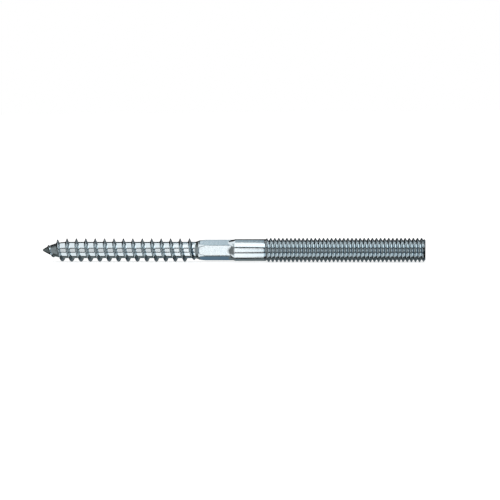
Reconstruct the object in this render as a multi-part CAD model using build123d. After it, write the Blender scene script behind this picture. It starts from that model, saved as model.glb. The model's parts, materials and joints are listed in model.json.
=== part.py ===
from build123d import *
import math
import os

# A hanger bolt, rolled and forged from one piece of steel. A wood screw thread runs from the
# gimlet point to a forged hexagon, a plain shank follows, and a machine stud ends the bolt.
#
# Frame, in millimetres: the X axis is the bolt's own axis, and the origin is the centre of the
# stud's end face. +X points out of that face, so the whole bolt lies at negative X, and +Z is up.
# The hexagon has two flats facing -Y and +Y and two corners facing up and down.

# ---------------------------------------------------------------- driving dimensions

# The machine stud, M6 x 1. Its fine thread isn't cut: the stud is the cylinder over the crests.
STUD_DIAMETER = 5.97
STUD_LENGTH = 39.4  # from the shank to the end face
STUD_END_DIAMETER = 4.8  # of the flat that the end chamfer leaves
END_CHAMFER_ANGLE = 45.0  # from the axis
RUN_OUT_LENGTH = 0.8  # where the first thread grows out of the shank

# The plain shank is the rolled blank at its own diameter.
SHANK_DIAMETER = 5.38
SHANK_LENGTH = 7.3

# The forged hexagon is pressed into the blank, so its corners are still round.
HEX_ACROSS_FLATS = 4.7
HEX_ACROSS_CORNERS = 5.15
HEX_LENGTH = 9.7  # from the wood thread's core to the shank, with the cone at each end
HEX_FRONT_ANGLE = 17.5  # of the cone beside the wood thread, from the axis
HEX_REAR_ANGLE = 15.5  # of the cone beside the shank, from the axis

# The wood screw, from the point to the foot of the hexagon's front cone
SCREW_LENGTH = 38.6
CORE_DIAMETER = 4.1
POINT_LENGTH = 6.2  # of the pointed arch that the core narrows in
POINT_CONES = 3  # the short cones that follow the arch
THREAD_DIAMETER = 5.8
THREAD_PITCH = 2.365
THREAD_FLANK_ANGLE = 23.0  # of each side of the ridge, from a plane across the bolt
THREAD_CREST_WIDTH = 0.16
THREAD_START = 1.0  # from the point to where the ridge starts
THREAD_RISE = 3.0  # the length over which it reaches its full height
THREAD_FADE = 2.6  # the length over which it dies away into the hexagon's cone
THREAD_FADE_OVERLAP = 1.3  # how far that runs past the foot of the cone
THREAD_PHASE = 3.83  # from the point to a crest that faces up
THREAD_SEAT = 0.35  # how deep the ridge's foot is sunk in the core

# The six-lobe drive recess in the stud's end face, size 20
LOBE_DIAMETER = 3.9  # over the tips of two opposite lobes
LOBE_ROOT_DIAMETER = 2.82  # between two opposite ribs
LOBE_TIP_RADIUS = 0.3
RECESS_DEPTH = 2.2  # of the straight part
RECESS_FLOOR_ANGLE = 60.0  # of the conical floor, from the axis
LOBES = 6

# The turned forms close in a line along the bolt, just above the middle of its back.
SEAM_ANGLE = 2.5  # of that line, from +Y towards +Z

# ---------------------------------------------------------------- places along the axis

END_FACE = 0.0
SHANK_END = END_FACE - STUD_LENGTH
HEX_END = SHANK_END - SHANK_LENGTH
SCREW_END = HEX_END - HEX_LENGTH
POINT = SCREW_END - SCREW_LENGTH

stud_radius = STUD_DIAMETER / 2
stud_end_radius = STUD_END_DIAMETER / 2
shank_radius = SHANK_DIAMETER / 2
corner_radius = HEX_ACROSS_CORNERS / 2
flat_radius = HEX_ACROSS_FLATS / 2
core_radius = CORE_DIAMETER / 2
thread_radius = THREAD_DIAMETER / 2


def rise_over(angle, height):
    """The length along the axis in which a cone at this angle from the axis gains the height."""
    return height / math.tan(math.radians(angle))


def smooth_step(share):
    """0 to 1 with a level start and end, for a share that may lie outside 0 to 1."""
    share = min(1.0, max(0.0, share))
    return share * share * (3 - 2 * share)


def turned(*outline):
    """The solid that an outline of (x, radius) points makes when it turns about the bolt's axis."""
    return Rot(X=SEAM_ANGLE) * revolve(make_face(Polyline(*outline, close=True)), Axis.X)


def across(x):
    """The plane across the bolt at x. Its own x is +Y and its own y is +Z."""
    return Plane(origin=(x, 0, 0), x_dir=(0, 1, 0), z_dir=(1, 0, 0))


# ---------------------------------------------------------------- the blank


def core_outline():
    """The screw's core as (x, radius) points: pointed arch, cylinder, and the hexagon's front cone."""
    # the arch is an arc that starts on the axis and runs into the core without a corner
    arch_radius = (POINT_LENGTH**2 + core_radius**2) / (2 * core_radius)
    arch = [(POINT, 0.0)]
    for cone in range(1, POINT_CONES + 1):
        reach = POINT_LENGTH * (1 - cone / POINT_CONES)
        drop = arch_radius - math.sqrt(arch_radius**2 - reach**2)
        arch.append((POINT + POINT_LENGTH - reach, core_radius - drop))
    cone_top = SCREW_END + rise_over(HEX_FRONT_ANGLE, corner_radius - core_radius)
    return arch + [(SCREW_END, core_radius), (cone_top, corner_radius)]


def core_radius_at(x):
    """The core's radius at x, level before the first point of its outline and after the last."""
    outline = core_outline()
    for (x0, r0), (x1, r1) in zip(outline, outline[1:]):
        if x < x1:
            return r0 + (r1 - r0) * max(0.0, x - x0) / (x1 - x0)
    return corner_radius


def screw_core():
    """The gimlet point and the core that the wood thread stands on, up to the hexagon."""
    outline = [point for point in core_outline() if point[0] <= SCREW_END]
    return turned(*outline, (SCREW_END, 0))


def hexagon():
    """The forged hexagon: six flats on a round bar that starts as a cone."""
    foot, top = core_outline()[-2:]
    bar = turned((SCREW_END, 0), foot, top, (HEX_END, corner_radius), (HEX_END, 0))
    flats = RegularPolygon(flat_radius, 6, major_radius=False, rotation=30)
    return bar & extrude(across(SCREW_END) * flats, HEX_LENGTH)


def shank_and_stud():
    """The cone behind the hexagon, the plain shank and the stud with its chamfered end."""
    cone_start = HEX_END - rise_over(HEX_REAR_ANGLE, shank_radius - flat_radius)
    chamfer_start = END_FACE - rise_over(END_CHAMFER_ANGLE, stud_radius - stud_end_radius)
    return turned(
        (cone_start, 0),
        (cone_start, flat_radius),
        (HEX_END, shank_radius),
        (SHANK_END, shank_radius),
        (SHANK_END + RUN_OUT_LENGTH, stud_radius),
        (chamfer_start, stud_radius),
        (END_FACE, stud_end_radius),
        (END_FACE, 0),
    )


# ---------------------------------------------------------------- the wood thread

thread_start = POINT + THREAD_START
thread_end = SCREW_END + THREAD_FADE_OVERLAP
thread_height = thread_radius - core_radius


def seat_at(x):
    """How deep the ridge's foot is sunk at x, less in the thin core at the point."""
    return min(THREAD_SEAT, core_radius_at(x) / 2)


def crest_radius_at(x):
    """The radius of the ridge's crest. It starts and ends halfway down its own seat in the core."""
    grown = smooth_step((x - thread_start) / THREAD_RISE)
    left = smooth_step((thread_end - x) / THREAD_FADE)
    hidden = seat_at(x) / 2
    out = (thread_height + hidden) * grown * left - hidden
    return min(core_radius_at(x) + out, thread_radius)


def ridge_corners(turn):
    """The four corners of the ridge's section at this turn, as (x, radius), foot to crest to foot."""
    middle = POINT + THREAD_PHASE + THREAD_PITCH * turn
    crest = crest_radius_at(middle)
    foot = core_radius_at(middle) - seat_at(middle)
    slope = (crest - foot) * math.tan(math.radians(THREAD_FLANK_ANGLE))
    half_crest = THREAD_CREST_WIDTH / 2
    half_foot = half_crest + slope
    return [
        (middle - half_foot, foot),
        (middle - half_crest, crest),
        (middle + half_crest, crest),
        (middle + half_foot, foot),
    ]


def ridge_point(turn, corner):
    """Where that corner is in space. A right-hand thread turns from +Z towards -Y as it goes along +X."""
    x, radius = ridge_corners(turn)[corner]
    angle = 2 * math.pi * turn
    return Vector(x, -radius * math.sin(angle), radius * math.cos(angle))


def ridge_edge(first, last, corner, knots=3):
    """A smooth helical edge through one corner, from the first turn to the last."""
    step = 1e-5
    turns = [first + (last - first) * knot / knots for knot in range(knots + 1)]
    slopes = [
        (ridge_point(turn + step, corner) - ridge_point(turn - step, corner)) / (2 * step)
        for turn in (first, last)
    ]
    points = [ridge_point(turn, corner) for turn in turns]
    return Edge.make_spline(points, tangents=slopes, parameters=turns, scale=False)


def wood_thread():
    """The ridge as a closed skin: flank, crest, flank and foot for each half turn, and two end caps."""
    first = (thread_start - POINT - THREAD_PHASE) / THREAD_PITCH
    last = (thread_end - POINT - THREAD_PHASE) / THREAD_PITCH
    count = 2 * math.ceil(last - first)
    cuts = [first + (last - first) * cut / count for cut in range(count + 1)]
    skin = []
    for low, high in zip(cuts, cuts[1:]):
        edges = [ridge_edge(low, high, corner) for corner in range(4)]
        skin += [Face.make_surface_from_curves(edges[k], edges[(k + 1) % 4]) for k in range(4)]
    for turn in (first, last):
        skin.append(Face(Wire.make_polygon([ridge_point(turn, corner) for corner in range(4)])))
    return Solid(Shell(skin))


# ---------------------------------------------------------------- the drive recess


def six_lobe_outline():
    """The six-lobe outline: round lobe tips joined by round ribs, each arc tangent to the next."""
    tip_centre = LOBE_DIAMETER / 2 - LOBE_TIP_RADIUS
    root = LOBE_ROOT_DIAMETER / 2
    half = math.pi / LOBES
    # the rib's radius is what makes its circle touch the lobes' circles on both sides
    reach = tip_centre**2 + root**2 - 2 * tip_centre * root * math.cos(half) - LOBE_TIP_RADIUS**2
    rib_radius = reach / (2 * (LOBE_TIP_RADIUS + tip_centre * math.cos(half) - root))
    rib_centre = root + rib_radius

    def polar(radius, angle):
        return Vector(radius * math.cos(angle), radius * math.sin(angle))

    def joint(tip_angle, rib_angle):
        tip, rib = polar(tip_centre, tip_angle), polar(rib_centre, rib_angle)
        return tip + (rib - tip) * (LOBE_TIP_RADIUS / (LOBE_TIP_RADIUS + rib_radius))

    arcs = []
    for lobe in range(LOBES):
        angle = 2 * half * lobe
        before, after, following = angle - half, angle + half, angle + 2 * half
        start, end = joint(angle, before), joint(angle, after)
        arcs.append(ThreePointArc(start, polar(LOBE_DIAMETER / 2, angle), end))
        arcs.append(ThreePointArc(end, polar(root, after), joint(following, after)))
    return make_face(arcs)


def drive_recess():
    """What the punch takes out of the end face: a six-lobe prism with a conical floor."""
    lobe_radius = LOBE_DIAMETER / 2
    floor = END_FACE - RECESS_DEPTH
    cone_length = rise_over(RECESS_FLOOR_ANGLE, lobe_radius)
    # the prism and the cone that trims it both run on past the end face
    mouth = END_FACE + cone_length
    prism = extrude(across(floor - cone_length) * six_lobe_outline(), mouth - floor + cone_length)
    cone_mouth = floor + cone_length
    trim = turned(
        (floor - cone_length, 0),
        (cone_mouth, 2 * lobe_radius),
        (max(mouth, cone_mouth), 2 * lobe_radius),
        (max(mouth, cone_mouth), 0),
    )
    return prism & trim


def hanger_bolt():
    blank = screw_core() + hexagon() + shank_and_stud()
    return blank + wood_thread() - drive_recess()


os.makedirs("parts", exist_ok=True)
bolt = hanger_bolt().solid()
export_step(bolt, "parts/hanger_bolt.step")
print("hanger_bolt", round(bolt.volume, 2), "mm3, length", round(bolt.bounding_box().size.X, 2))
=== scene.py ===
# %% [markdown]
# # A hanger bolt
# A hanger bolt joins wood to metal. One end is a wood screw that is driven into a beam or a table
# leg, the other is a machine stud that takes a nut, and the forged hexagon between them takes a
# spanner. The whole bolt is one piece of steel: rolled, forged and then zinc plated. So it is one
# closed mesh here too, and what changes along it is how its surface was made.
#
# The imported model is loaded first. It fixes every length, and the detailed skin is laid on it.

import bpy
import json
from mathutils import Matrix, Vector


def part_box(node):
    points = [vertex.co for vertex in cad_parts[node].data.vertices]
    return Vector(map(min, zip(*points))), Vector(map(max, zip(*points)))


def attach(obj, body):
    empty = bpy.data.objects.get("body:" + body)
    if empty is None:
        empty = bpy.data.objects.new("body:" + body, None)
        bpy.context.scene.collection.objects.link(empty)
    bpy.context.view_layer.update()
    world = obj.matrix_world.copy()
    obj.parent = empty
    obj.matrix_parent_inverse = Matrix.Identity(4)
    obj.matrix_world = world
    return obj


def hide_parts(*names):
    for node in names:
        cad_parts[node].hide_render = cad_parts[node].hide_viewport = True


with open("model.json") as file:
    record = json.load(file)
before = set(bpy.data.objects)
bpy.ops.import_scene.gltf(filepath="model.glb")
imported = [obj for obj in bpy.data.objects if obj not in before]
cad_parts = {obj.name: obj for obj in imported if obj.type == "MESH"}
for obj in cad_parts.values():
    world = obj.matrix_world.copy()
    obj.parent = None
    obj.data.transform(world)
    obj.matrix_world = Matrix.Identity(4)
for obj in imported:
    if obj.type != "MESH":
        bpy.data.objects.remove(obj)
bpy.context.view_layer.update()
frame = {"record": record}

import json
import math

import bpy
import numpy as np
from mathutils import Quaternion, Vector

MM = 0.001
low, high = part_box("hanger_bolt")
mounts = {mount["name"]: mount for mount in frame["record"]["mounts"]}
stud_radius = mounts["machine_stud"]["dims"]["r_mm"]
print("bolt from", round(low.x / MM, 1), "to", round(high.x / MM, 1), "mm, stud radius", stud_radius)

# %% [markdown]
# ## The places along the bolt
# Hardware is drawn from one end, so every place here is a distance in millimetres from the stud's
# end face, negative along the bolt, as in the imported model. The two ends and the wood screw's
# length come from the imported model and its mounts. The other lengths are those of its drawing.
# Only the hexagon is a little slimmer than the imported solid: its flats lie 0.1 mm deeper.

# %% Lengths and radii of the blank
STUD_LENGTH = 39.4
SHANK_LENGTH = 7.3
POINT_LENGTH = 6.2

END_FACE = high.x / MM
POINT = low.x / MM
SCREW_END = mounts["wood_screw"]["pos_m"][0] / MM
SHANK_END = END_FACE - STUD_LENGTH
HEX_END = SHANK_END - SHANK_LENGTH

CORE_RADIUS = 4.1 / 2
FLAT_RADIUS = 4.5 / 2
CORNER_RADIUS = 5.13 / 2
SHANK_RADIUS = 5.38 / 2
print("hexagon from", round(SCREW_END, 1), "to", round(HEX_END, 1), "mm")

# %% [markdown]
# ## The blank
# Before any thread is rolled on it, the bolt is a blank: a pointed arch, a thin core, a hexagon
# pressed between two cones, and a round shank. It could be a chain of lathe shapes joined by
# booleans, but then each joint would need mending. A formula that gives the radius at any place
# and angle keeps it one skin, and the threads can be added to the same formula.
#
# Two helpers come first, because no corner on a forged or rolled piece is quite sharp: one eases
# from 0 to 1, and the other takes the smaller of two radii with a rounded change between them.


# %% Soft changes
def smooth_step(share):
    share = min(1.0, max(0.0, share))
    return share * share * (3 - 2 * share)


def soft_min(first, second, reach):
    """The smaller of two radii. Where they come within this reach, one runs into the other."""
    share = min(1.0, max(0.0, 0.5 + 0.5 * (second - first) / reach))
    return second + (first - second) * share - reach * share * (1 - share)


print("two radii of 1 mm, rounded over 0.07 mm, give", soft_min(1.0, 1.0, 0.07))

# %% [markdown]
# ## The core and its point
# The point of a hanger bolt is a pointed arch, not a cone: an arc that runs into the core without
# a corner. Pinching and rolling leave its tip blunt by a fifth of a millimetre, so the last bit
# follows a small parabola instead.

# %% The core's radius
TIP_CUT = 0.2
TIP_BLUNTNESS = 0.35


def core_radius(x):
    """The radius of the pointed arch, and of the core after it."""
    reach = max(0.0, POINT + POINT_LENGTH - x)
    arch = ((POINT_LENGTH + TIP_CUT) ** 2 + CORE_RADIUS**2) / (2 * CORE_RADIUS)
    radius = CORE_RADIUS - arch + math.sqrt(arch**2 - reach**2)
    from_tip = max(0.0, x - POINT)
    return min(radius, math.sqrt(TIP_BLUNTNESS * from_tip)) if from_tip < TIP_CUT else radius


print("core radius half way along the point:", round(core_radius(POINT + POINT_LENGTH / 2), 2))

# %% [markdown]
# ## The hexagon between its cones
# The hexagon is pressed into a round bar that was thickened first, so a cone leads up to it from
# each side. The front cone is steep at its foot and gentle above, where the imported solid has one
# plain cone. The press starts in an arc on each flat and leaves a small step there. The rear cone
# leads up to the shank, and each flat runs out on it in a curved edge.
#
# Angles start at the top of the bolt and turn towards its front, the way a right-hand thread
# turns as it moves towards the stud.

# %% The blank's radius
FRONT_FOOT = SCREW_END - 0.1
FRONT_STEPS = [0.0, 0.85, 2.4]  # distance from the front cone's foot
FRONT_RISE = [0.0, 0.34, 0.51]  # and how far the cone has risen there
PRESS_START = FRONT_FOOT + 0.8
PRESS_ARC = 0.55  # how much later the press starts at a corner than in the middle of a flat
PRESS_STEP = 0.2
REAR_SLOPE = math.tan(math.radians(15.5))
FLAT_ROUNDING = 0.02
CONE_ROUNDING = 0.07
SHANK_ROUNDING = 0.05


def hexagon_radius(angle):
    """Flats that face the front and the back. Their corners are rounded by the press."""
    off_flat = math.degrees(angle) % 60 - 30
    return min(CORNER_RADIUS, FLAT_RADIUS / math.cos(math.radians(off_flat)))


def blank_radius(x, angle):
    if x <= FRONT_FOOT:
        return core_radius(x)
    front = CORE_RADIUS + float(np.interp(x - FRONT_FOOT, FRONT_STEPS, FRONT_RISE))
    rear = SHANK_RADIUS - (HEX_END - x) * REAR_SLOPE
    off_flat = (math.degrees(angle) % 60 - 30) / 30
    share = smooth_step((x - PRESS_START - PRESS_ARC * off_flat**2) / PRESS_STEP)
    pressed = front + (soft_min(front, hexagon_radius(angle), FLAT_ROUNDING) - front) * share
    raised = -soft_min(-pressed, -rear, CONE_ROUNDING)
    return soft_min(raised, SHANK_RADIUS, SHANK_ROUNDING)


print("blank radius at the hexagon's flat:", round(blank_radius(SCREW_END + 5, math.pi / 2), 2))

# %% [markdown]
# ## The skin
# The skin is made of rings of points round the bolt. 96 points to a ring put each corner of the
# hexagon, 30 degrees from the middle of a flat, exactly on a line of points.

# %% Points, rings and the faces between them
COLUMNS = 96
angles = [2 * math.pi * column / COLUMNS for column in range(COLUMNS)]
points = []
faces = []


def place(x, radius, angle):
    """Adds a point to the skin and gives its number."""
    points.append((x * MM, -radius * math.sin(angle) * MM, radius * math.cos(angle) * MM))
    return len(points) - 1


def ring(x, radius_at):
    return [place(x, radius_at(x, angle), angle) for angle in angles]


def bridge(rings):
    """Joins each ring to the next with a band of four-sided faces."""
    for first, second in zip(rings, rings[1:]):
        for column in range(COLUMNS):
            after = (column + 1) % COLUMNS
            faces.append((first[column], first[after], second[after], second[column]))


print(COLUMNS, "points to a ring")

# %% [markdown]
# ## A skin that follows a thread
# A thread is a ridge that climbs one pitch in each turn. Rings across the bolt would cut its crest
# at a slant and leave it ragged. Here the lines of points climb with the thread instead: a line
# that leaves the last column one pitch on is the same line that starts there in the first column.
# Where a line would pass the end of the thread it stops in the plain ring at that end, so the
# threaded skin and the plain one share their points and the mesh stays closed.

# %% Lines of points that climb with a thread
JOINS_RING = 0.02  # a point this near to an end ring, in millimetres, becomes the ring's own


def climb(first_ring, last_ring, start, end, pitch, crest_at, lines, point_at):
    """Fills the space between two rings. point_at(turn, line, angle) gives a place and a radius."""
    first_turn = math.floor((start - crest_at) / pitch) - 2
    last_turn = math.ceil((end - crest_at) / pitch) + 2
    grid = []
    for whole in range(first_turn, last_turn):
        for line in lines:
            row = []
            for column in range(COLUMNS):
                x, radius = point_at(whole + column / COLUMNS, line, angles[column])
                if x < start + JOINS_RING:
                    row.append(first_ring[column])
                elif x > end - JOINS_RING:
                    row.append(last_ring[column])
                else:
                    row.append(place(x, radius, angles[column]))
            grid.append(row)
    for row, (lower, upper) in enumerate(zip(grid, grid[1:])):
        for column in range(COLUMNS):
            if column + 1 < COLUMNS:
                right = (lower[column + 1], upper[column + 1])
            elif row + len(lines) + 1 < len(grid):
                right = (grid[row + len(lines)][0], grid[row + len(lines) + 1][0])
            else:
                continue
            corners = list(dict.fromkeys((lower[column], right[0], right[1], upper[column])))
            if len(corners) > 2:
                faces.append(tuple(corners))


print("threads climb in", COLUMNS, "steps a turn")

# %% [markdown]
# ## The wood thread
# A wood thread is a tall thin ridge with a wide valley, so that it cuts fibres and leaves them
# standing between its turns. Rolling leaves the crest slightly rounded and a small fillet at the
# foot. Its section is drawn once, as half a ridge, and mirrored. Three more lines follow the thread
# on each half of the valley, and one in its middle, so that the blank's own form is kept there.

# %% The wood thread's section
WOOD_RADIUS = mounts["wood_screw"]["dims"]["r_mm"]
WOOD_PITCH = 2.365
WOOD_HEIGHT = WOOD_RADIUS - CORE_RADIUS
# half of the ridge's section, as distance from its middle and share of its height
WOOD_SECTION = [(0.035, 1.0), (0.09, 0.95), (0.36, 0.16), (0.42, 0.045), (0.5, 0.0)]
# the lines on half of the valley, in shares of the pitch, up to its middle
VALLEY_LINES = [0.28, 0.36, 0.44, 0.5]

half_lines = [away / WOOD_PITCH for away, share in WOOD_SECTION] + VALLEY_LINES
half_shares = [share for away, share in WOOD_SECTION] + [0.0] * len(VALLEY_LINES)
wood_lines = [-line for line in reversed(half_lines[:-1])] + half_lines
print("wood thread:", len(wood_lines), "lines a turn,", round(WOOD_HEIGHT, 2), "mm high")

# %% [markdown]
# ## How the wood thread starts and ends
# The ridge starts as a scratch near the point, is full height within two turns, and dies away on
# the hexagon's cone. A lower ridge is narrower too, as it is where the dies have only begun to
# press.

# %% The wood thread's ridge
WOOD_CREST = POINT + 3.83
WOOD_THREAD_END = SCREW_END + 0.5
TIP_RING = POINT + 0.04
SCRATCH_HEIGHT = 0.3
SCRATCH_START = 0.4
SCRATCH_GROWTH = 0.8
RIDGE_START = 2.2
RIDGE_GROWTH = 1.7
RIDGE_FADE = 2.1


def wood_height(x):
    """The ridge's height above the core at x: low on the point, full, then dying away."""
    from_point = x - POINT
    scratch = SCRATCH_HEIGHT * smooth_step((from_point - SCRATCH_START) / SCRATCH_GROWTH)
    grown = (WOOD_HEIGHT - SCRATCH_HEIGHT) * smooth_step((from_point - RIDGE_START) / RIDGE_GROWTH)
    return (scratch + grown) * smooth_step((WOOD_THREAD_END - x) / RIDGE_FADE)


def wood_point(turn, line, angle):
    middle = WOOD_CREST + WOOD_PITCH * turn
    height = wood_height(middle)
    on_ridge = abs(line) < VALLEY_LINES[0]
    width = 0.5 + 0.5 * height / WOOD_HEIGHT if on_ridge else 1.0
    x = middle + WOOD_PITCH * line * width
    share = float(np.interp(abs(line), half_lines, half_shares))
    blank = blank_radius(min(max(x, POINT), WOOD_THREAD_END), angle)
    return x, min(blank + height * share, max(WOOD_RADIUS, blank))


tip_ring = ring(TIP_RING, blank_radius)
neck_ring = ring(WOOD_THREAD_END, blank_radius)
climb(tip_ring, neck_ring, TIP_RING, WOOD_THREAD_END, WOOD_PITCH, WOOD_CREST, wood_lines, wood_point)
tip = place(POINT, 0, 0)
for column in range(COLUMNS):
    faces.append((tip, tip_ring[(column + 1) % COLUMNS], tip_ring[column]))
print("wood thread:", len(points), "points")

# %% [markdown]
# ## The hexagon and the shank
# The press squeezes six flats into a round bar and leaves its corners round. Each flat runs out
# into the cones in a curved edge. Rings close together there let the formula draw that edge, and
# a few rings are enough where nothing changes.

# %% Rings over the hexagon and the shank
flats_start = PRESS_START + 0.8
cone_end = FRONT_FOOT + FRONT_STEPS[-1]
rear_start = HEX_END - (SHANK_RADIUS - FLAT_RADIUS + CONE_ROUNDING) / REAR_SLOPE
shank_start = HEX_END + 0.25
stretches = [
    (WOOD_THREAD_END, flats_start, 18),
    (flats_start, cone_end, 4),
    (cone_end, rear_start, 6),
    (rear_start, shank_start, 30),
    (shank_start, SHANK_END - 0.2, 5),
    (SHANK_END - 0.2, SHANK_END, 3),
]
plain_rings = [neck_ring]
for start, end, count in stretches:
    plain_rings += [ring(x, blank_radius) for x in np.linspace(start, end, count)[1:]]
bridge(plain_rings)
plain_points = len(points)
print("hexagon and shank:", len(plain_rings), "rings")

# %% [markdown]
# ## The machine thread
# The stud has a 60 degree metric thread, M6 with a pitch of 1 mm. Its crests are narrow and worn
# round by the rolling, and its roots are round. The thread is rolled into the shank, which is
# thinner than the finished crests: the metal pushed out of the roots makes them. So at the run-out
# the crests rise and the roots sink together. At the other end the last groove lifts out through
# the chamfer.

# %% The machine thread's section
MACHINE_PITCH = 1.0
MACHINE_CREST = END_FACE - 0.93
RUN_OUT = 1.0
RUN_OUT_START = SHANK_END - 0.1
GROOVE_END = END_FACE - 0.1
GROOVE_LIFT = 0.5
CHAMFER_START = END_FACE - 0.62
END_RADIUS = 4.8 / 2
# half of the section, as distance from the middle of the crest and depth below it: a rounded
# crest, a straight flank and a rounded root
CREST = [(0.02, 0.0), (0.06, 0.012), (0.11, 0.06), (0.16, 0.135)]
ROOT = [(0.39, 0.533), (0.44, 0.59), (0.5, 0.613)]

machine_away = [away for away, depth in CREST + ROOT]
machine_depths = [depth for away, depth in CREST + ROOT]
machine_lines = [-away for away in reversed(machine_away[:-1])] + machine_away


def machine_radius(x, angle):
    """The thread's radius anywhere: rolled out of the shank, and cut by the 45 degree chamfer."""
    turn = (x - MACHINE_CREST) / MACHINE_PITCH - angle / (2 * math.pi)
    away = abs(turn - round(turn))
    depth = float(np.interp(away, machine_away, machine_depths))
    full = stud_radius - depth * smooth_step((GROOVE_END - x) / GROOVE_LIFT)
    rolled = smooth_step((x - RUN_OUT_START) / RUN_OUT)
    return min(SHANK_RADIUS + (full - SHANK_RADIUS) * rolled, END_RADIUS + END_FACE - x)


def machine_point(turn, line, angle):
    x = MACHINE_CREST + MACHINE_PITCH * (turn + line)
    return x, machine_radius(min(max(x, SHANK_END), CHAMFER_START), angle)


chamfer_ring = ring(CHAMFER_START, machine_radius)
climb(
    plain_rings[-1],
    chamfer_ring,
    SHANK_END,
    CHAMFER_START,
    MACHINE_PITCH,
    MACHINE_CREST,
    machine_lines,
    machine_point,
)
machine_points = len(points)
print("machine thread:", machine_points - plain_points, "points")

# %% [markdown]
# ## The outline of the drive recess
# A punch leaves a six-lobe recess in the stud's end for the driver. Its outline is round lobe tips
# joined by round ribs, each arc touching the next, so the radius at any angle comes from whichever
# circle that ray meets. Of the two radii only the tip's is chosen: the rib's follows from it,
# because the arcs touch.

# %% The recess's outline
LOBE_RADIUS = 3.9 / 2
ROOT_RADIUS = 2.82 / 2
TIP_RADIUS = 0.3

tip_centre = LOBE_RADIUS - TIP_RADIUS
half_lobe = math.radians(30)
tip_along = tip_centre * math.cos(half_lobe)
reach = tip_centre**2 + ROOT_RADIUS**2 - 2 * tip_along * ROOT_RADIUS - TIP_RADIUS**2
rib_radius = reach / (2 * (TIP_RADIUS + tip_along - ROOT_RADIUS))
rib_centre = ROOT_RADIUS + rib_radius
touch_share = TIP_RADIUS / (TIP_RADIUS + rib_radius)
touch_along = tip_centre + (rib_centre * math.cos(half_lobe) - tip_centre) * touch_share
touch_aside = rib_centre * math.sin(half_lobe) * touch_share
touch_angle = math.atan2(touch_aside, touch_along)


def recess_radius(x, angle):
    """The same at every depth. A lobe's tip faces the front and another the back."""
    off = math.radians(abs((math.degrees(angle) % 60) - 30))
    if off <= touch_angle:
        return tip_centre * math.cos(off) + math.sqrt(TIP_RADIUS**2 - (tip_centre * math.sin(off)) ** 2)
    off = half_lobe - off
    return rib_centre * math.cos(off) - math.sqrt(rib_radius**2 - (rib_centre * math.sin(off)) ** 2)


print("recess: ribs of", round(rib_radius, 3), "mm radius")

# %% [markdown]
# ## The chamfered end
# The end is chamfered so that a nut starts easily. A flat ring is left between the chamfer and the
# recess, whose edge is broken by a twentieth of a millimetre. The punch's point left a conical
# floor, which closes the skin.

# %% The end face and the recess
RECESS_DEPTH = 2.2
RECESS_EDGE = 0.05
FLOOR_SLOPE = math.tan(math.radians(60))


def floor_radius(x, angle):
    return (x - apex) * FLOOR_SLOPE


chamfer_places = np.linspace(CHAMFER_START, END_FACE, 17)[1:]
chamfer_rings = [chamfer_ring] + [ring(x, machine_radius) for x in chamfer_places]
mouth = ring(END_FACE, lambda x, angle: recess_radius(x, angle) + RECESS_EDGE)
inside = ring(END_FACE - RECESS_EDGE, recess_radius)
apex = END_FACE - RECESS_DEPTH - LOBE_RADIUS / FLOOR_SLOPE
outline = [recess_radius(END_FACE, angle) for angle in angles]
foot = [place(apex + r / FLOOR_SLOPE, r, angle) for r, angle in zip(outline, angles)]
floor = [ring(apex + r / FLOOR_SLOPE, floor_radius) for r in (1.0, 0.4)]
bridge(chamfer_rings + [mouth, inside, foot] + floor)
floor_tip = place(apex, 0, 0)
for column in range(COLUMNS):
    faces.append((floor[-1][column], floor[-1][(column + 1) % COLUMNS], floor_tip))
print("end:", len(points) - machine_points, "points,", len(points), "in all")

# %% [markdown]
# ## From points to a piece
# The skin becomes one mesh object. Its faces could be turned outwards by hand, by keeping one order
# of points in every band, but Blender can do that for a closed skin in one step.

# %% Make the mesh
mesh = bpy.data.meshes.new("hanger_bolt_skin")
mesh.from_pydata(points, [], faces)
mesh.validate()
bolt = bpy.data.objects.new("threaded_hanger_bolt", mesh)
bpy.context.scene.collection.objects.link(bolt)

bpy.context.view_layer.objects.active = bolt
bolt.select_set(True)
bpy.ops.object.mode_set(mode="EDIT")
bpy.ops.mesh.select_all(action="SELECT")
bpy.ops.mesh.normals_make_consistent(inside=False)
bpy.ops.object.mode_set(mode="OBJECT")
bolt.select_set(False)
print("skin:", len(mesh.polygons), "faces,", sum(len(p.vertices) - 2 for p in mesh.polygons), "triangles")

# %% [markdown]
# ## Smooth threads and sharp edges
# Both threads and the front cone are shaded smooth all over, because rolling and forging leave no
# knife edges there. On the rest, an edge of more than 18 degrees is a real one, from the press or
# the punch, and stays sharp. Then the piece takes the imported solid's place.

# %% Shade it and give it its place
EDGE_ANGLE = math.radians(18)

mesh.shade_smooth()
mesh.set_sharp_from_angle(angle=EDGE_ANGLE)
smooth = []
for point in points:
    x = point[0] / MM
    smooth.append(x < cone_end or SHANK_END - 0.3 < x < CHAMFER_START - 0.1)
sharp = mesh.attributes["sharp_edge"].data
for edge in mesh.edges:
    if all(smooth[number] for number in edge.vertices):
        sharp[edge.index].value = False
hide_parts("hanger_bolt")
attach(bolt, "root")
print("sharp edges:", sum(edge.value for edge in sharp))

# %% [markdown]
# ## Colours and nodes
# Colours are easiest to choose as sRGB hex values, while Blender works in linear light, so one
# function turns the one into the other. A second small function adds a node with its settings and
# links in one call. It keeps the materials below as short as a recipe.


# %% Nodes and colours
def linear(hex_colour):
    """An sRGB hex colour as the linear values that Blender works in."""
    channels = [int(hex_colour[start : start + 2], 16) / 255 for start in (1, 3, 5)]
    return [c / 12.92 if c <= 0.04045 else ((c + 0.055) / 1.055) ** 2.4 for c in channels] + [1.0]


def add(tree, kind, inputs=None, **settings):
    """Adds a node. An input is a number or colour, or another node's output to link."""
    made = tree.nodes.new(kind)
    for name, value in settings.items():
        setattr(made, name, value)
    for name, value in (inputs or {}).items():
        if isinstance(value, bpy.types.NodeSocket):
            tree.links.new(value, made.inputs[name])
        else:
            made.inputs[name].default_value = value
    return made


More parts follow.
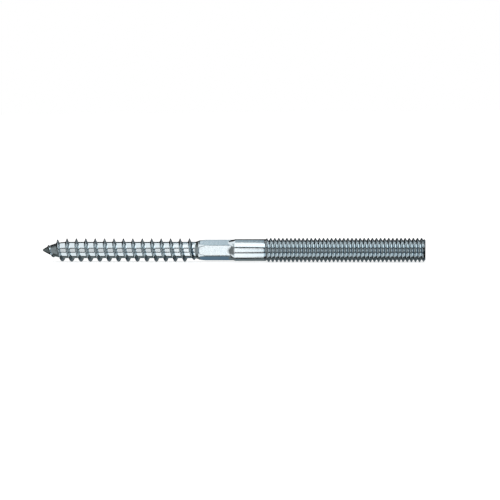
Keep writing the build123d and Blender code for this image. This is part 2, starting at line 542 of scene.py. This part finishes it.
def new_tree(name):
    material = bpy.data.materials.new(name)
    material.use_nodes = True
    material.node_tree.nodes.clear()
    return material, material.node_tree


print("zinc's colour, linear:", [round(c, 3) for c in linear("#cad1d4")])

# %% [markdown]
# ## Zinc-plated steel
# Bright zinc plate is a thin film of zinc, a few thousandths of a millimetre, laid on by
# electricity and passivated in a bath that leaves a faint blue. To the eye it is a metal with
# soft, slightly milky reflections, bluish in the dark parts.
#
# Its colour drifts in clouds about 2 mm wide, as a bath leaves it. Its gloss varies in a grain of
# about a quarter of a millimetre. The real crystals are far too fine to show, so the grain is drawn
# as coarse as it needs to be, and only scratches the surface by a hundredth of a millimetre.

# %% The plating's colour and gloss
PER_MM = 1000  # object coordinates are in metres, so this gives a pattern in turns per millimetre
CLOUDS_PER_MM = 0.45
GRAINS_PER_MM = 4.0
zinc, tree = new_tree("zinc_plated_steel")
place_on_bolt = add(tree, "ShaderNodeTexCoord").outputs["Object"]
in_mm = add(
    tree,
    "ShaderNodeVectorMath",
    {0: place_on_bolt, "Scale": PER_MM},
    operation="SCALE",
).outputs[0]
clouds = add(
    tree,
    "ShaderNodeTexNoise",
    {"Vector": in_mm, "Scale": CLOUDS_PER_MM, "Detail": 3.0},
).outputs[0]
grain = add(
    tree,
    "ShaderNodeTexNoise",
    {"Vector": in_mm, "Scale": GRAINS_PER_MM, "Detail": 4.0},
).outputs[0]
tint = add(
    tree,
    "ShaderNodeMix",
    {"Factor": clouds, 6: linear("#c1c9cc"), 7: linear("#cad1d4")},
    data_type="RGBA",
).outputs[2]
rough = add(
    tree,
    "ShaderNodeMapRange",
    {"Value": grain, "From Min": 0.3, "From Max": 0.7, "To Min": 0.07, "To Max": 0.16},
).outputs[0]
print("plating: clouds of", round(1 / CLOUDS_PER_MM, 1), "mm, grain of", 1 / GRAINS_PER_MM, "mm")

# %% [markdown]
# ## The forged hexagon's dents
# The press's jaws leave the flats slightly dented, which shows as fine mottling and small dark
# specks in their reflection. The dents are about 0.6 mm wide and two hundredths deep.
# They are a bump in the material, not in the mesh, because nothing of them shows in the outline.
# A mask along the bolt keeps them on the hexagon, away from the rolled and drawn surfaces.

# %% The bumps and the shader
DENTS_PER_MM = 1.6
bump = add(
    tree,
    "ShaderNodeBump",
    {"Height": grain, "Strength": 0.2, "Distance": 0.012 * MM},
).outputs["Normal"]
along = add(tree, "ShaderNodeSeparateXYZ", {"Vector": in_mm}).outputs["X"]
hexagon_middle = (SCREW_END + HEX_END) / 2
from_middle = add(tree, "ShaderNodeMath", {0: along, 1: hexagon_middle}, operation="SUBTRACT").outputs[0]
off_middle = add(tree, "ShaderNodeMath", {0: from_middle}, operation="ABSOLUTE").outputs[0]
pressed_part = add(
    tree,
    "ShaderNodeMapRange",
    {"Value": off_middle, "From Min": 3.4, "From Max": 4.4, "To Min": 1.0, "To Max": 0.0},
).outputs[0]
dents = add(
    tree,
    "ShaderNodeTexNoise",
    {"Vector": in_mm, "Scale": DENTS_PER_MM, "Detail": 3.0, "Roughness": 0.6},
).outputs[0]
forged = add(
    tree,
    "ShaderNodeBump",
    {"Height": dents, "Strength": pressed_part, "Distance": 0.024 * MM, "Normal": bump},
).outputs["Normal"]
shader = add(
    tree,
    "ShaderNodeBsdfPrincipled",
    {"Base Color": tint, "Metallic": 1.0, "Roughness": rough, "Normal": forged},
)
add(tree, "ShaderNodeOutputMaterial", {"Surface": shader.outputs[0]})
mesh.materials.append(zinc)
print("finish:", zinc.name, "with", len(tree.nodes), "nodes")

# %% [markdown]
# ## The table
# The bolt lies on white laminate. The laminate takes the bolt's shadow as any matt surface does,
# and a little light of its own, seen by the camera alone, brings it up to white. Another way is
# more light from the lamps, but that would light the bolt as well. The bolt doesn't mirror the
# table itself: the sheets of the tent below stand in for it.

# %% The floor
FLOOR = low.z
OWN_LIGHT = 0.7
bpy.ops.mesh.primitive_circle_add(vertices=96, radius=3.0, fill_type="NGON", location=(0, 0, FLOOR))
floor_sheet = bpy.context.object
floor_sheet.name = "white_table"
white_table, tree = new_tree("matt_white_laminate")
is_camera = add(tree, "ShaderNodeLightPath").outputs["Is Camera Ray"]
own_light = add(tree, "ShaderNodeMath", {0: is_camera, 1: OWN_LIGHT}, operation="MULTIPLY").outputs[0]
paper = add(tree, "ShaderNodeBsdfDiffuse", {"Color": linear("#f4f4f4")})
glow = add(tree, "ShaderNodeEmission", {"Color": linear("#ffffff"), "Strength": own_light})
both = add(tree, "ShaderNodeAddShader", {0: paper.outputs[0], 1: glow.outputs[0]})
add(tree, "ShaderNodeOutputMaterial", {"Surface": both.outputs[0]})
floor_sheet.data.materials.append(white_table)
floor_sheet.visible_glossy = False
print("floor at", round(FLOOR / MM, 3), "mm")

# %% [markdown]
# ## The world
# The world is the room round the tent. The camera and the metal see it white. As a lamp it gives
# about a third of that, a plain level that leaves the shadow under the bolt.

# %% The world
ROOM_LIGHT = 0.37
world = bpy.data.worlds.new("white_tent")
bpy.context.scene.world = world
world.use_nodes = True
tree = world.node_tree
tree.nodes.clear()
rays = add(tree, "ShaderNodeLightPath").outputs
seen = add(
    tree,
    "ShaderNodeMath",
    {0: rays["Is Camera Ray"], 1: rays["Is Glossy Ray"]},
    operation="MAXIMUM",
)
strength = add(
    tree,
    "ShaderNodeMapRange",
    {"Value": seen.outputs[0], "To Min": ROOM_LIGHT, "To Max": 1.0},
)
sky = add(tree, "ShaderNodeBackground", {"Color": linear("#ffffff"), "Strength": strength.outputs[0]})
add(tree, "ShaderNodeOutputWorld", {"Surface": sky.outputs[0]})
print("the room lights the table at", ROOM_LIGHT)

# %% [markdown]
# ## The tent
# A bright metal shows its surroundings more than itself, so it is lit as silver is: inside a
# tent of white sheets with a few dark gaps. The tent is a tunnel round the bolt, half a metre in
# radius. A sheet or a gap that runs along the bolt shows as a long streak on every round part,
# and a surface that is tilted by some angle mirrors the tent at twice that angle. So each place in
# the tent can be worked out from the surface that is to show it.
#
# The sheets glow, and only reflections see them: they cast no light and no shadow on the table.
# Each sheet hangs a millimetre nearer to the bolt than the one before, so a small sheet that is
# hung later covers part of a large one. Sheets are made of strips of 3 degrees, because flat
# strips much wider than that would cut through the sheet before them.

# %% The sheets of the tent
TENT_RADIUS = 0.5
TENT_LEFT = -0.75
TENT_RIGHT = 0.65
LAYER = 0.001
STRIP = 3
VIEW_HEIGHT = 5.0  # degrees above the table from which the bolt is seen
hung = []


def show_in_metal(name, corners, sides, brightness, colour):
    """A glowing sheet that is seen only by reflection."""
    cloth = bpy.data.meshes.new(name)
    cloth.from_pydata(corners, [], sides)
    finish, tree = new_tree(name)
    light = add(tree, "ShaderNodeEmission", {"Color": linear(colour), "Strength": brightness})
    add(tree, "ShaderNodeOutputMaterial", {"Surface": light.outputs[0]})
    cloth.materials.append(finish)
    sheet = bpy.data.objects.new(name, cloth)
    bpy.context.scene.collection.objects.link(sheet)
    sheet.visible_camera = False
    sheet.visible_diffuse = False
    sheet.visible_shadow = False


def panel(name, first, last, brightness, colour="#ffffff", left=TENT_LEFT, right=TENT_RIGHT):
    """A sheet of the tunnel between two angles above the line of sight, over the bolt to 180."""
    steps = math.ceil((last - first) / STRIP)
    hung.append(name)
    radius = TENT_RADIUS - LAYER * len(hung)
    corners = []
    for step in range(steps + 1):
        turn = math.radians(VIEW_HEIGHT + first + (last - first) * step / steps)
        for end in (left, right):
            corners.append((end, -radius * math.cos(turn), radius * math.sin(turn)))
    strips = [(2 * s, 2 * s + 1, 2 * s + 3, 2 * s + 2) for s in range(steps)]
    show_in_metal(name, corners, strips, brightness, colour)


print("the tent is", TENT_RIGHT - TENT_LEFT, "m long")

# %% [markdown]
# ## The sheets for the hexagon and the shank
# The whole tunnel is hung first, as the hexagon and the shank are to show it. In front is the white
# sheet of the middle flat. Two dark gaps, above and below the camera, are the two dark lines along
# the shank. The upper flat mirrors the sheet behind the bolt, and the lower flat a bluish one
# behind and under it.

# %% Hang the whole tunnel
panel("front_sheet", -86, 87, 1.75)
panel("gap_over_camera", 19, 34, 0.01)
panel("gap_under_camera", -36, -24, 0.02)
panel("back_sheet", 87, 140, 0.4, "#cfe6f2")
panel("back_sheet_middle", 102, 119, 0.93, "#e6f6ff")
panel("dark_behind", 140, 180, 0.01)
# a dark sheet right under the bolt stands in for the table's shadow there, as the metal would mirror it:
# a painted shadow in the reflection
panel("mirrored_table_shadow", -106, -86, 0.06)
panel("grey_under", -180, -106, 0.3, "#d4e2e2")
panel("blue_under", -138, -122, 0.4, "#a8d0f0", left=-0.14, right=-0.095)
print(len(hung), "sheets hung")

# %% [markdown]
# ## The sheets for the wood thread
# The camera stands near and to the right, so the wood thread's core mirrors the far end of the
# tunnel, left of the wood seam, and hardly anything else on the bolt does. A greyer sheet in front
# gives the core its quieter middle between two bright bands.

# %% Hang the far end
WOOD_SEAM = -0.128

panel("far_sheet", -91, 117, 1.38, "#f9fdff", right=WOOD_SEAM)
panel("far_front_sheet", -30, 26, 1.0, right=WOOD_SEAM)
panel("far_gap_over_camera", 19, 31, 0.01, right=WOOD_SEAM)
panel("far_gap_under_camera", -39, -27, 0.1, right=WOOD_SEAM)
panel("far_dark_behind", 117, 180, 0.03, right=WOOD_SEAM)
print(len(hung), "sheets hung")

# %% [markdown]
# ## The sheets for the machine thread
# Right of the stud's seam are the sheets that the machine thread's crests and flanks mirror. They
# are bluer, with a wide dark gap on each side of the camera, because each turn of the thread shows
# them only in a narrow streak. A groove mirrors light twice, from one flank to the other, and
# sends it back the way it came. So the grooves show what is right of a third seam, near the
# camera. The last two sheets are what the underside of the wood thread shows.

# %% Hang the right end
STUD_SEAM = -0.082
GROOVE_SEAM = -0.012
UNDERSIDE_SEAM = 0.035

panel("right_softbox", -86, 73, 2.15, "#e9f8ff", left=STUD_SEAM)
panel("right_front_sheet", -25, 19, 1.1, "#e4f6ff", left=STUD_SEAM)
panel("right_gap_over_camera", 7, 29, 0.01, left=STUD_SEAM)
panel("right_gap_under_camera", -35, -16, 0.01, left=STUD_SEAM)
panel("right_table_sheet", -72, -35, 1.4, "#e4f6ff", left=STUD_SEAM)
panel("right_back_sheet", 73, 118, 0.5, "#dcf4ff", left=STUD_SEAM)
panel("right_dark_behind", 118, 180, 0.03, left=STUD_SEAM)
panel("right_under", -180, -72, 0.3, "#d4e2e2", left=STUD_SEAM)
panel("groove_front", -16, 7, 0.85, "#e4f6ff", left=GROOVE_SEAM)
panel("groove_back", 73, 118, 0.03, left=GROOVE_SEAM)
panel("groove_under", -180, -72, 0.03, left=GROOVE_SEAM)
panel("right_behind", 140, 180, 0.24, "#d8e8f0", left=UNDERSIDE_SEAM)
panel("right_behind_low", -180, -120, 0.24, "#d8e8f0", left=UNDERSIDE_SEAM)
print(len(hung), "sheets hung")

# %% [markdown]
# ## The cards at the ends
# A flank that faces along the bolt mirrors an end of the tent. The cards there are grey and
# bluish, since the flanks of both threads and the cones are darker than the rest. At each end they
# stand side by side, from in front of the bolt to behind it, and each is as dark as the flanks
# that show it.

# %% Stand the cards
CENTRE = (low.x + high.x) / 2
CARD_DISTANCE = 0.29
CARD_HEIGHT = 0.6
left_end = CENTRE - CARD_DISTANCE
right_end = CENTRE + CARD_DISTANCE
stood = []


def card(name, x, near, far, brightness, colour="#ffffff"):
    """A sheet across one end of the tent, from near to far as seen from the camera."""
    outline = ((near, -CARD_HEIGHT), (far, -CARD_HEIGHT), (far, CARD_HEIGHT), (near, CARD_HEIGHT))
    corners = [(x, y, z) for y, z in outline]
    show_in_metal(name, corners, [(0, 1, 2, 3)], brightness, colour)
    stood.append(name)


card("card_left", left_end, -0.49, -0.3, 0.27, "#f0f6f4")
card("card_left_middle", left_end, -0.3, -0.14, 0.38, "#eef6f8")
card("card_left_tip", left_end, -0.14, 0, 0.2, "#e4f0ee")
card("card_left_behind", left_end, 0, 0.6, 0.03)
card("card_right", right_end, -0.6, -0.3, 0.2, "#9cc4dc")
card("card_right_blue", right_end, -0.3, -0.13, 0.27, "#90bcdc")
card("card_right_dim", right_end, -0.13, -0.06, 0.15, "#9cc4dc")
card("card_right_middle", right_end, -0.06, 0.16, 0.02)
card("card_right_behind", right_end, 0.16, 0.6, 0.14, "#c0dcec")
print(len(stood), "cards stood")

# %% [markdown]
# ## The lamp
# One wide, weak lamp above and in front of the bolt lights the table softly, and gives the bolt a
# faint shadow behind and under it. The metal doesn't mirror it, since the tent does that work.

# %% The lamp
LAMP_POWER = 1.5
LAMP_FRONT = 0.35
LAMP_HEIGHT = 0.8
key = bpy.data.lights.new("softbox", "AREA")
key.shape = "RECTANGLE"
key.size, key.size_y = 1.2, 0.6
key.energy = LAMP_POWER
key_lamp = bpy.data.objects.new("softbox", key)
key_lamp.location = (CENTRE, -LAMP_FRONT, LAMP_HEIGHT)
key_lamp.rotation_euler = Vector((0, LAMP_FRONT, -LAMP_HEIGHT)).to_track_quat("-Z", "Y").to_euler()
key_lamp.visible_camera = False
key_lamp.visible_glossy = False
bpy.context.scene.collection.objects.link(key_lamp)
print("lamp of", LAMP_POWER, "W")

# %% [markdown]
# ## The camera
# A small bolt is taken from near by, less than half a metre away, so its nearer end looks slightly
# larger than the other. The camera stands a little to the stud's side and a little above the table.
# Seen from there a level bolt would lean in the frame, so the camera leans with it.

# %% The camera
DISTANCE = 0.45
SIDE = 5.5  # degrees towards the stud
FRAME_WIDTH = 0.1233  # how much fits across the frame at the bolt
AIM_FROM_END = 0.04308
AIM_HEIGHT = 0.00001
SENSOR = 36
aim = Vector((END_FACE * MM - AIM_FROM_END, 0, AIM_HEIGHT))
side, height = math.radians(SIDE), math.radians(VIEW_HEIGHT)
back = Vector((math.sin(side) * math.cos(height), -math.cos(side) * math.cos(height), math.sin(height)))
lens = bpy.data.cameras.new("close_up_lens")
lens.sensor_width = SENSOR
lens.lens = SENSOR * DISTANCE / FRAME_WIDTH
lens.clip_end = 100
camera = bpy.data.objects.new("camera", lens)
camera.location = aim + back * DISTANCE
lean = Quaternion((0, 0, 1), -math.atan(math.tan(side) * math.sin(height)))
camera.rotation_euler = ((-back).to_track_quat("-Z", "Y") @ lean).to_euler()
bpy.context.scene.collection.objects.link(camera)
bpy.context.scene.camera = camera
bpy.context.scene.view_settings.view_transform = "Standard"
print("lens", round(lens.lens), "mm at", DISTANCE, "m")
